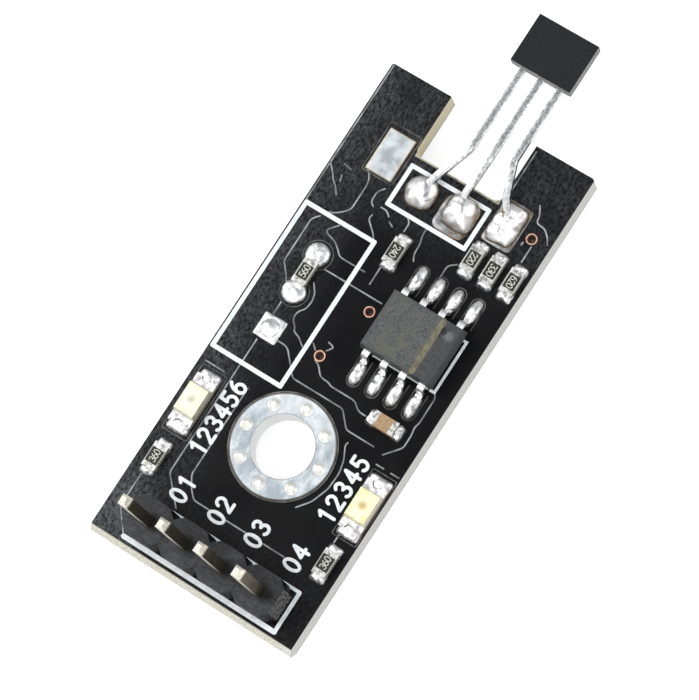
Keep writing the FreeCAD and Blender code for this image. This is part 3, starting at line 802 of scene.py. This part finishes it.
def make_pin_gold():
    """Square pins with creamy tips; below the tips they are painted dark as shade and dark reflection, with a
    painted highlight along the -Y edge, and the tips' upright sides carry painted shade.
    """
    look = Finish("pin_gold", metal=0.85)
    high = node_box("header_pin_1")[1]
    tip = look.along("Z", high.z - 0.8, high.z - 0.4)
    # Painted dark reflection and shade below the tips, then a painted highlight on faces turned towards -Y.
    shaft_with_painted_light = look.mix(look.field(0.5, 3.0, (1.0, 1.0, 0.2)), (0.045, 0.037, 0.023), (0.125, 0.102, 0.07))
    shaft_with_painted_light = look.mix(look.turned("Y", -0.5, -0.9, 0.42), shaft_with_painted_light, (0.75, 0.7, 0.6))
    end = look.speckle(0.2, 4.0, 0.3, 0.7, (0.62, 0.575, 0.46), (0.92, 0.89, 0.8))
    # Painted shade: the upright sides of the tips are darkened.
    end = look.mix(look.level(0.4, 0.1, 0.5), end, (0.38, 0.34, 0.26))
    look.colour(look.mix(tip, shaft_with_painted_light, end))
    look.blend("Metallic", tip, 0.85, 0.35)
    return look.gloss(0.34, 0.48, 0.4).relief(0.003, 0.3, 2.0, (1.0, 1.0, 0.3))


def make_chip_epoxy():
    """Grey moulding: browner in clouds, darker beyond the stripe, with a dimple in one corner given a painted
    highlight and painted shade at its left.
    """
    look = Finish("chip_epoxy", specular=0.4)
    low, high = node_box("comparator_body")
    speck = look.patches(0.12, 5.0, 0.3, 0.7, roughness=0.75)
    look.colour(look.mix(speck, (0.022, 0.026, 0.028), (0.108, 0.114, 0.112)))
    look.over(look.patches(0.8, 4.0, 0.46, 0.62, 0.0, 0.6), (0.1, 0.098, 0.07))
    rim = look.from_box(middle_of("comparator_body"), half_of("comparator_body", 0.15))
    look.over(look.within(rim, -0.3, -0.05, 0.5), (0.05, 0.054, 0.056))
    stripe_x = low.x + stripe_from_left
    beyond = look.along("X", stripe_x, stripe_x + 0.3, 0.0, 0.75)
    look.over(beyond, look.mix(speck, (0.014, 0.017, 0.019), (0.042, 0.045, 0.048)))
    # Painted highlight on the dimple, then painted shade in its left side.
    dimple = look.from_point(high.x - 0.62, high.y - 0.86)
    look.over(look.within(dimple, 0.42, 0.12, 0.75), (0.15, 0.155, 0.165))
    shade = look.from_point(high.x - 1.02, high.y - 0.76)
    look.over(look.within(shade, 0.27, 0.1, 0.9), (0.006, 0.006, 0.007))
    return look.gloss(0.5, 0.68, 0.4).relief(0.01, 0.08, 4.0)


def make_stripe_ink():
    look = Finish("stripe_olive", specular=0.2)
    look.colour(look.speckle(0.3, 4.0, 0.3, 0.7, (0.1, 0.096, 0.066), (0.19, 0.175, 0.115)))
    return look.gloss(0.6, 0.8, 0.3).relief(0.003, 0.1)


def make_sensor_epoxy():
    look = Finish("sensor_epoxy", specular=0.27)
    look.colour(look.speckle(0.1, 5.0, 0.35, 0.7, (0.003, 0.0036, 0.005), (0.0085, 0.0098, 0.012),
                             roughness=0.7))
    # Painted light: faces that are not level are lightened to grey.
    painted_side_light = look.mix(look.field(0.2, 4.0), (0.12, 0.12, 0.12), (0.34, 0.34, 0.33))
    look.over(look.level(0.95, 0.7), painted_side_light)
    return look.gloss(0.45, 0.62, 0.5).relief(0.008, 0.09, 4.0)


def make_ceramic():
    look = Finish("ceramic_white")
    look.colour(look.mix(look.field(0.2, 4.0), (0.7, 0.74, 0.68), (0.9, 0.92, 0.88)))
    # Painted shade: faces turned towards +X are darkened.
    look.over(look.turned("X", 0.5, 0.9, 0.8), (0.16, 0.15, 0.11))
    return look.gloss(0.4, 0.6, 0.2).relief(0.005, 0.1)


def make_glaze():
    """Black glaze in the middle of each chip; its pale body shows at both sides."""
    look = Finish("glaze_black", specular=0.4)
    windows = []
    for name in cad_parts:
        if name.startswith("resistor") and name.endswith("_ceramic"):
            long_window = name.split("_")[1] in "456"
            half = (glaze_half_width + 0.03 * long_window, glaze_half_length + 0.25 * long_window)
            windows.append(look.from_box(middle_of(name), half))
    black = look.mix(look.field(0.2, 4.0), (0.004, 0.005, 0.004), (0.018, 0.02, 0.016))
    pale = look.mix(look.field(0.14, 4.0), (0.3, 0.31, 0.26), (0.56, 0.58, 0.52))
    look.colour(look.mix(look.within(look.nearest(windows), -0.01, 0.02), black, pale))
    return look.gloss(0.3, 0.48, 0.3).relief(0.006, 0.14)


def make_number_ink():
    look = Finish("number_pale", specular=0.3)
    look.colour(look.mix(look.field(0.12, 3.0), (0.4, 0.4, 0.33), (0.72, 0.72, 0.63)))
    return look.gloss(0.5, 0.7, 0.2).relief(0.003, 0.08)


def make_tan_ceramic():
    look = Finish("ceramic_tan", specular=0.45)
    look.colour(look.speckle(0.16, 4.0, 0.3, 0.7, (0.27, 0.165, 0.085), (0.4, 0.265, 0.15)))
    return look.gloss(0.38, 0.55, 0.2).relief(0.006, 0.1)


def make_led_laminate():
    look = Finish("led_laminate", specular=0.45)
    look.colour(look.mix(look.field(0.25, 4.0), (0.74, 0.72, 0.64), (0.93, 0.92, 0.87)))
    # Painted shade: faces turned towards +X are darkened.
    look.over(look.turned("X", 0.5, 0.9, 0.8), (0.17, 0.145, 0.08))
    return look.gloss(0.4, 0.6, 0.3).relief(0.006, 0.12)


def make_lens(name, node, core, body, rim):
    """Clouded resin with the small chip showing through its middle, and painted shade at its foot and on
    faces turned towards +X.
    """
    look = Finish(name)
    low = node_box(node)[0]
    from_core = look.from_point(*middle_of(node))
    look.colour(look.speckle(0.45, 3.0, 0.35, 0.65, body, rim))
    look.over(look.within(from_core, 0.75, 0.2, 0.6), body)
    look.over(look.within(from_core, 0.42, 0.04, 0.75), core)
    # Painted shade at the foot and on faces turned towards +X.
    foot = look.along("Z", low.z + 0.3, low.z + 0.02, 0.0, 0.7)
    look.over(look.most(foot, look.turned("X", 0.5, 0.9, 0.7)), (0.3, 0.27, 0.15))
    look.shader.inputs["Subsurface Weight"].default_value = 0.25
    look.shader.inputs["Subsurface Radius"].default_value = (0.0006, 0.0005, 0.0003)
    look.shader.inputs["Coat Weight"].default_value = 0.4
    return look.gloss(0.16, 0.3, 0.4).relief(0.01, 0.4, 2.0)


# Finishes of the frame's own solids
def dress(material, *nodes):
    for node in nodes:
        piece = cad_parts[node]
        piece.data.materials.clear()
        piece.data.materials.append(material)


def nodes_named(start):
    return [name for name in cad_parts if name.startswith(start)]


white_ink = make_print_ink()
solder = make_solder()
dress(make_mask(), "circuit_board")
dress(make_ring_tin(), "mounting_hole_ring")
dress(make_pad_tin(), "bare_pad")
dress(make_copper(), "via_rims")
dress(make_header_plastic(), "header_base")
dress(make_pin_gold(), *nodes_named("header_pin"))
dress(solder, "header_solder")
dress(make_chip_epoxy(), "comparator_body")
dress(make_lead_tin(), *nodes_named("comparator_lead"))
dress(make_end_metal(), "resistor_end_caps", "capacitor_end_caps")
dress(make_end_metal("led_end_metal", (0.36, 0.355, 0.38), (0.8, 0.79, 0.775)), "led_end_caps")
dress(make_ceramic(), *[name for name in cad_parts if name.endswith("_ceramic")])
dress(make_glaze(), "resistor_coats")
dress(make_tan_ceramic(), "capacitor_body")
dress(make_led_laminate(), "led_left_base", "led_right_base")
dress(make_lens("lens_cream", "led_left_lens", (0.45, 0.44, 0.34), (0.87, 0.86, 0.7), (0.76, 0.75, 0.56)),
      "led_left_lens")
dress(make_lens("lens_yellow", "led_right_lens", (0.42, 0.29, 0.06), (0.92, 0.88, 0.62), (0.8, 0.7, 0.36)),
      "led_right_lens")
dress(make_sensor_epoxy(), "sensor_body")
for sensor_lead in nodes_named("sensor_lead"):
    dress(make_wire_tin(sensor_lead), sensor_lead)


# White print
def make_print_lines():
    for name, box, wide in (("print_sensor_box", (-2.6, 8.68, 2.73, 11.33), 0.26),
                            ("print_trimmer_box", (-6.76, -3.62, -1.99, 6.34), 0.27)):
        lines = bmesh.new()
        add_frame(lines, *box_from_middle(*box), wide)
        new_piece(name, lines, white_ink, "solder_mask")
    header_box = bmesh.new()
    left, bottom, right, upper = box_from_middle(-5.05, -15.68, 5.62, -13.03)
    add_ribbon(header_box, [(left, upper), (right, upper)], 0.2, top, print_height, ends=3)
    add_ribbon(header_box, [(right, upper), (right, bottom)], 0.24, top, print_height + 0.001, ends=3)
    add_ribbon(header_box, [(right, bottom), (left + 0.1, bottom)], 0.3, top, print_height + 0.002, ends=3)
    new_piece("print_header_box", header_box, white_ink, "solder_mask")
    chip_line = bmesh.new()
    chip_points = [from_middle(x, y) for x, y in ((5.6, 0.68), (5.87, 0.68), (5.87, 4.1), (5.65, 4.1))]
    add_ribbon(chip_line, chip_points, 0.17, top, print_height)
    add_ribbon(chip_line, [from_middle(1.65, 0.66), from_middle(5.4, 0.66)], 0.09, top, print_height)
    new_piece("print_comparator_line", chip_line, white_ink, "solder_mask")


def make_print_numbers():
    """Plain numbers by the pins and the two lamps."""
    numbers = bmesh.new()
    for digits, x, y in (("01", -3.02, -12.3), ("02", -0.42, -12.2), ("03", 2.14, -12.2),
                         ("04", 4.85, -12.2), ("123456", -3.6, -9.36), ("12345", 4.98, -8.78)):
        advance = close_label_advance if len(digits) == 6 else label_advance
        add_number(numbers, digits, from_middle(x, y), label_height, advance, label_stroke, top, print_height)
    new_piece("print_numbers", numbers, white_ink, "solder_mask")


def make_resistor_numbers():
    numbers = bmesh.new()
    face = node_box("resistor_coats")[1].z
    run = 2 * number_advance + 0.45 * number_height
    for index, digits in enumerate(("220", "330", "620", "240", "360", "360", "560")):
        x, y = middle_of("resistor_%d_ceramic" % (index + 1))
        turn = -1.0 if index < 4 else 1.0
        start = (x + turn * number_height / 2, y - turn * run / 2)
        add_number(numbers, digits, start, number_height, number_advance, number_stroke, face, thin_ink,
                   (0.0, turn))
    new_piece("resistor_numbers", numbers, make_number_ink(), "black_glaze")


# Fine lines of the tracks under the coating
def make_tracks():
    lines = bmesh.new()
    runs = (
        ((-4.7, 9.8), (-4.4, 9.5), (-4.25, 9.0), (-4.25, 7.3), (-4.6, 6.9), (-5.0, 6.6), (-5.3, 6.5)),
        ((-5.6, 6.05), (-5.95, 5.65), (-5.95, 2.7), (-5.6, 2.35), (-5.1, 1.7)),
        ((-4.3, 6.15), (-4.78, 5.6), (-4.72, 5.4), (-4.0, 5.2), (-3.6, 4.9), (-3.3, 4.6), (-3.0, 4.57),
         (-1.5, 4.57)),
        ((-3.65, 3.5), (0.4, 3.5)),
        ((-3.7, 2.5), (-3.3, 2.0), (-3.17, 1.5), (-3.25, 0.95), (-3.52, 0.65), (-3.6, 0.35), (-3.5, 0.0),
         (-3.2, -0.25), (-3.1, -0.52), (-2.7, -0.62), (-2.2, -1.0)),
        ((-3.6, -1.45), (-3.05, -1.46), (-2.8, -1.6), (-2.2, -2.25), (-1.8, -2.7), (-1.6, -2.85),
         (1.85, -2.85), (2.7, -3.77), (4.6, -3.77)),
        ((-6.85, 9.05), (-6.4, 8.6), (-6.2, 8.3), (-5.8, 8.0), (-5.5, 7.6)),
        ((-6.1, 9.4), (-5.55, 9.3)),
        ((-5.85, 8.75), (-5.75, 8.4)),
        ((-3.2, 9.35), (-3.5, 9.0), (-3.5, 8.3), (-3.22, 8.1)),
        ((-2.8, 8.3), (-2.4, 8.3), (-2.1, 8.05)),
        ((-1.9, 7.8), (-1.6, 7.65)),
        ((-3.0, 7.65), (-3.05, 7.35), (-2.7, 7.05), (-2.4, 6.8), (-2.15, 6.5)),
        ((-1.75, -0.5), (-1.4, -0.8)),
        ((-1.1, -1.3), (-0.8, -1.4), (-0.3, -1.95), (0.35, -2.0), (0.5, -2.1), (2.2, -2.1), (2.7, -2.5),
         (3.2, -2.52)),
        ((-1.0, 0.0), (-0.55, -0.1), (-0.85, -0.5)),
        ((-4.72, 0.6), (-4.72, -0.3)),
        ((-4.72, -2.0), (-4.72, -11.1), (-4.6, -11.3), (-3.2, -12.75)),
        ((-3.55, -4.7), (-3.55, -10.6), (-3.1, -11.3), (-2.6, -11.8), (3.7, -11.8)),
        ((3.2, -4.35), (3.15, -4.55), (3.55, -5.3), (3.75, -6.1), (3.7, -7.2), (3.3, -8.3), (2.7, -9.05)),
        ((5.95, 0.6), (6.1, 0.4), (6.1, -1.3), (6.0, -1.6), (6.1, -2.1), (6.1, -2.95), (5.3, -3.9)),
        ((-6.1, -12.1), (-6.1, -14.3), (-5.0, -15.6)),
        ((-1.1, 8.55), (-0.85, 8.35), (-0.85, 7.75)),
        ((-0.85, 5.25), (-0.85, 4.1)),
        ((0.2, 8.5), (0.2, 8.1), (0.35, 7.7), (0.4, 6.9), (0.6, 6.55)),
        ((2.9, 7.7), (2.45, 7.35), (2.45, 6.5)),
        ((6.0, 10.75), (6.0, 9.7)),
        ((5.1, 13.1), (5.4, 12.6), (5.5, 12.1), (6.1, 12.05), (6.5, 11.7), (6.75, 11.3)),
        ((-6.87, 15.9), (-6.87, 6.5)),
        ((3.2, 15.7), (3.2, 13.0)),
        ((5.7, -9.1), (5.7, -9.6)),
        ((5.3, -4.55), (5.8, -4.55)),
        ((6.3, -4.55), (6.85, -4.55)),
        ((-6.6, -4.6), (-5.3, -4.6)),
    )
    for run in runs:
        points = eased([from_middle(x, y) for x, y in run])
        add_ribbon(lines, points, track_width, top, line_height, ends=3)
    new_piece("track_lines", lines, make_track(), "solder_mask")


# Edges of the openings in the coating
def comparator_places():
    """Middle of each comparator lead's width, the end of its foot, and which way it points."""
    for number in range(1, 9):
        low, high = node_box("comparator_lead_%d" % number)
        outward = 1.0 if number < 5 else -1.0
        yield (low.x + high.x) / 2, high.y if outward > 0 else low.y, outward


def make_mask_edges():
    edges = bmesh.new()
    ring_edge = ring_of(0.0, 0.0, ring_radius + ring_edge_gap, 72)
    add_ribbon(edges, ring_edge, ring_edge_width, top, line_height, closed=True)
    for x, foot, outward in comparator_places():
        inner = foot - outward * 0.75
        outer = foot + outward * 0.68
        loop = [(x + outward * comparator_land_half, inner)]
        for px, py in bow(0.0, 0.0, comparator_land_half, comparator_land_half, 0, 180, 8):
            loop.append((x + outward * px, outer + outward * py))
        loop.append((x - outward * comparator_land_half, inner))
        add_ribbon(edges, loop, comparator_edge_width, top, line_height, ends=3)
    for node in ("trimmer_solder_1", "trimmer_solder_2"):
        circle = ring_of(*middle_of(node), half_of(node)[0] + 0.05)
        add_ribbon(edges, circle, edge_width, top, line_height, closed=True)
    for node, left, bottom, right, upper in (("bare_pad", 0.14, 0.1, 0.12, 0.28),
                                             ("led_left_base", 0.14, 0.62, 0.16, 0.66),
                                             ("led_right_base", 0.14, 0.62, 0.06, 0.66)):
        low, high = node_box(node)
        opening = rounded_box(low.x - left, low.y - bottom, high.x + right, high.y + upper, 0.1)
        add_ribbon(edges, opening, edge_width, top, line_height, closed=True)
    new_piece("coating_edges", edges, make_mask_edge(), "solder_mask")


# Solder
def make_comparator_joints():
    joints = bmesh.new()
    for number, (x, foot, outward) in enumerate(comparator_places(), 1):
        add_lump(joints, x, foot + outward * 0.23, *comparator_joint, number, power=2.5, fullness=2.8,
                 lean=(0.0, -outward * 0.1), lumps=0.09, ragged=0.04)
    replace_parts(new_piece("comparator_joints", joints, solder, "solder"), "comparator_solder")


def make_chip_joints():
    """Small fillets past both ends of every chip, and the filled cuts in the ends of the lamps."""
    joints = bmesh.new()
    seed = 20
    for index in range(6):
        low, high = node_box("resistor_%d_ceramic" % (index + 1))
        x = (low.x + high.x) / 2
        for y, outward in ((high.y + 0.05, 1.0), (low.y - 0.05, -1.0)):
            seed += 1
            add_lump(joints, x, y + outward * 0.04, *chip_joint, seed, power=5.0, fullness=3.0, lumps=0.14,
                     ragged=0.06, sides=40, levels=10)
    low, high = node_box("capacitor_end_caps")
    y = (low.y + high.y) / 2
    for x, outward in ((high.x, 1.0), (low.x, -1.0)):
        seed += 1
        add_lump(joints, x + outward * 0.04, y, *capacitor_joint, seed, power=4.0, fullness=3.0, lumps=0.14,
                 sides=40, levels=10)
    for node in ("led_left_base", "led_right_base"):
        low, high = node_box(node)
        x = (low.x + high.x) / 2
        for y, outward in ((high.y, 1.0), (low.y, -1.0)):
            seed += 1
            add_lump(joints, x, y + outward * 0.12, *lamp_joint, seed, power=4.5, fullness=4.0, lumps=0.09,
                     ragged=0.06, sides=48)
            add_lump(joints, x, y, *lamp_cut_joint, seed + 100, power=2.0, fullness=7.0, lumps=0.04,
                     ragged=0.0, sides=32, levels=12)
    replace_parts(new_piece("chip_joints", joints, solder, "solder"), "chip_solder")


def make_trimmer_joints():
    """Two round caps bridged by a chip, and a filled hole in a flat square land."""
    trimmer_solder = make_solder("solder_trimmer", dull=(0.53, 0.53, 0.54), flecks=0.55)
    for number in range(1, 4):
        node = "trimmer_solder_%d" % number
        x, y = middle_of(node)
        joint = bmesh.new()
        if number < 3:
            half_x, half_y = half_of(node, 0.06)
            height = (node_box(node)[1].z - top) * 0.75
            add_lump(joint, x, y, half_x, half_y, height, 40 + number, power=2.0, fullness=5.5, lumps=0.09,
                     ragged=0.015, plug=(hole_radius, top), levels=20)
        else:
            half = half_of(node, -0.03)[0]
            add_lump(joint, x, y, half, half, square_land_height, 43, power=20.0, fullness=16.0, lumps=0.0,
                     ragged=0.004, plug=(hole_radius, top), sides=120, levels=8)
            add_lump(joint, x, y, *square_dome, 44, power=2.0, fullness=2.4, lumps=0.07, ragged=0.02,
                     base=top + 0.05)
        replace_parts(new_piece("trimmer_joint_%d" % number, joint, trimmer_solder, "solder"), node)


def make_sensor_lands():
    """Tinned lands that show round the sensor's solder, and a small bare spot beside them."""
    land_tin = make_land_tin()
    for name, box, power in (("land_sensor_middle", (0.17, 8.87, 2.37, 11.12), 5.0),
                             ("land_sensor_right", (3.15, 9.72, 5.1, 12.56), 14.0),
                             ("land_spot", (5.36, 10.5, 5.52, 10.8), 2.0)):
        land = bmesh.new()
        left, bottom, right, upper = box_from_middle(*box)
        add_lump(land, (left + right) / 2, (bottom + upper) / 2, (right - left) / 2, (upper - bottom) / 2,
                 land_height, 50, power=power, fullness=20.0, lumps=0.0, ragged=0.01, sides=72, levels=6)
        new_piece(name, land, land_tin, "tinned_copper")


def make_sensor_joints():
    """Left a drop, middle a four-sided cone up to its lead, right a broad uneven pool."""
    sensor_solder = make_sensor_solder()
    for name, power, lean, lumps, grow, aside in (
            ("left", 2.2, (0.14, 0.34), 0.06, (0.05, 0.06), (0.06, -0.02)),
            ("middle", 3.6, (-0.14, 0.45), 0.05, (0.07, 0.04), (0.08, 0.02)),
            ("right", 5.0, (-0.22, 0.3), 0.12, (-0.02, -0.13), (0.0, -0.12))):
        node = "sensor_solder_" + name
        x, y = middle_of(node)
        half_x, half_y = half_of(node)
        height = node_box(node)[1].z - top - 0.06
        joint = bmesh.new()
        add_lump(joint, x + aside[0], y + aside[1], half_x + grow[0], half_y + grow[1], height,
                 60 + len(name), power=power, lean=lean, lumps=lumps, ragged=0.035, sides=72, levels=22)
        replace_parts(new_piece("sensor_joint_" + name, joint, sensor_solder, "solder"), node)


# Stripe across the comparator
def make_comparator_stripe():
    low, high = node_box("comparator_body")
    stripe = bmesh.new()
    x = low.x + stripe_from_left
    add_ribbon(stripe, [(x, low.y + 0.22), (x, high.y - 0.22)], stripe_width, high.z, thin_ink, ends=2)
    new_piece("comparator_stripe", stripe, make_stripe_ink(), "chip_moulding")


make_print_lines()
make_print_numbers()
make_resistor_numbers()
make_tracks()
make_mask_edges()
make_comparator_joints()
make_chip_joints()
make_trimmer_joints()
make_sensor_lands()
make_sensor_joints()
make_comparator_stripe()


# Stage, light and camera
def make_floor():
    """Pale floor that shows white and keeps the object's shadow."""
    look = Finish("floor_pale", specular=0.1)
    look.colour((0.6, 0.6, 0.6, 1.0))
    look.put(look.shader, "Roughness", 0.9)
    rays = look.node("LightPath", {}).outputs
    seen = look.most(look.most(rays["Is Camera Ray"], rays["Is Glossy Ray"]), rays["Is Transmission Ray"])
    glow = look.node("Emission", {"Strength": look.times(seen, floor_glow)})
    added = look.node("AddShader", {0: look.shader.outputs[0], 1: glow.outputs[0]})
    look.put(look.tree.nodes["Material Output"], "Surface", added.outputs[0])
    sheet = bmesh.new()
    places = [(x * floor_reach, y * floor_reach) for x, y in ((-1, -1), (1, -1), (1, 1), (-1, 1))]
    sheet.faces.new([corner(sheet, x, y, floor_level) for x, y in places])
    floor = new_mesh_object("floor", sheet, look.material)


def make_world():
    world = bpy.data.worlds.new("studio")
    bpy.context.scene.world = world
    world.use_nodes = True
    tree = world.node_tree
    background = tree.nodes["Background"]
    coordinates = tree.nodes.new("ShaderNodeTexCoord")
    split = tree.nodes.new("ShaderNodeSeparateXYZ")
    tree.links.new(coordinates.outputs["Generated"], split.inputs[0])
    ramp = tree.nodes.new("ShaderNodeValToRGB")
    lower, upper = ramp.color_ramp.elements
    lower.position = 0.1
    lower.color = (0.3, 0.3, 0.31, 1.0)
    upper.position = 0.95
    upper.color = (0.74, 0.75, 0.77, 1.0)
    tree.links.new(split.outputs["Z"], ramp.inputs["Fac"])
    tree.links.new(ramp.outputs["Color"], background.inputs["Color"])


def direction(azimuth, elevation):
    turn = math.radians(azimuth)
    rise = math.radians(elevation)
    return Vector((math.sin(turn) * math.cos(rise), -math.cos(turn) * math.cos(rise), math.sin(rise)))


def make_lamp(name, azimuth, elevation, size, power):
    data = bpy.data.lights.new(name, "AREA")
    data.shape = "SQUARE"
    data.size = size * MM
    data.energy = power
    lamp = new_object(name, data)
    away = direction(azimuth, elevation)
    lamp.location = (Vector(camera_aim) + away * lamp_distance) * MM
    lamp.rotation_euler = away.to_track_quat("Z", "Y").to_euler()


def make_camera():
    data = bpy.data.cameras.new("camera")
    data.lens = camera_lens
    data.sensor_width = 36.0
    data.clip_start = 0.01
    data.clip_end = 50.0
    camera = new_object("camera", data)
    back = direction(camera_azimuth, camera_elevation)
    level = Vector((0.0, 0.0, 1.0)).cross(back).normalized()
    rise = back.cross(level)
    roll = math.radians(camera_roll)
    right = level * math.cos(roll) + rise * math.sin(roll)
    upward = rise * math.cos(roll) - level * math.sin(roll)
    place = (Vector(camera_aim) + back * camera_distance) * MM
    turned = Matrix((right, upward, back)).transposed().to_4x4()
    camera.matrix_world = Matrix.Translation(place) @ turned
    bpy.context.scene.camera = camera


make_floor()
make_world()
make_lamp("key", -75.0, 48.0, 190.0, 0.62)
make_lamp("fill", 120.0, 40.0, 220.0, 0.34)
make_lamp("front", 20.0, 52.0, 160.0, 0.26)
make_camera()
bpy.context.scene.view_settings.view_transform = "Standard"
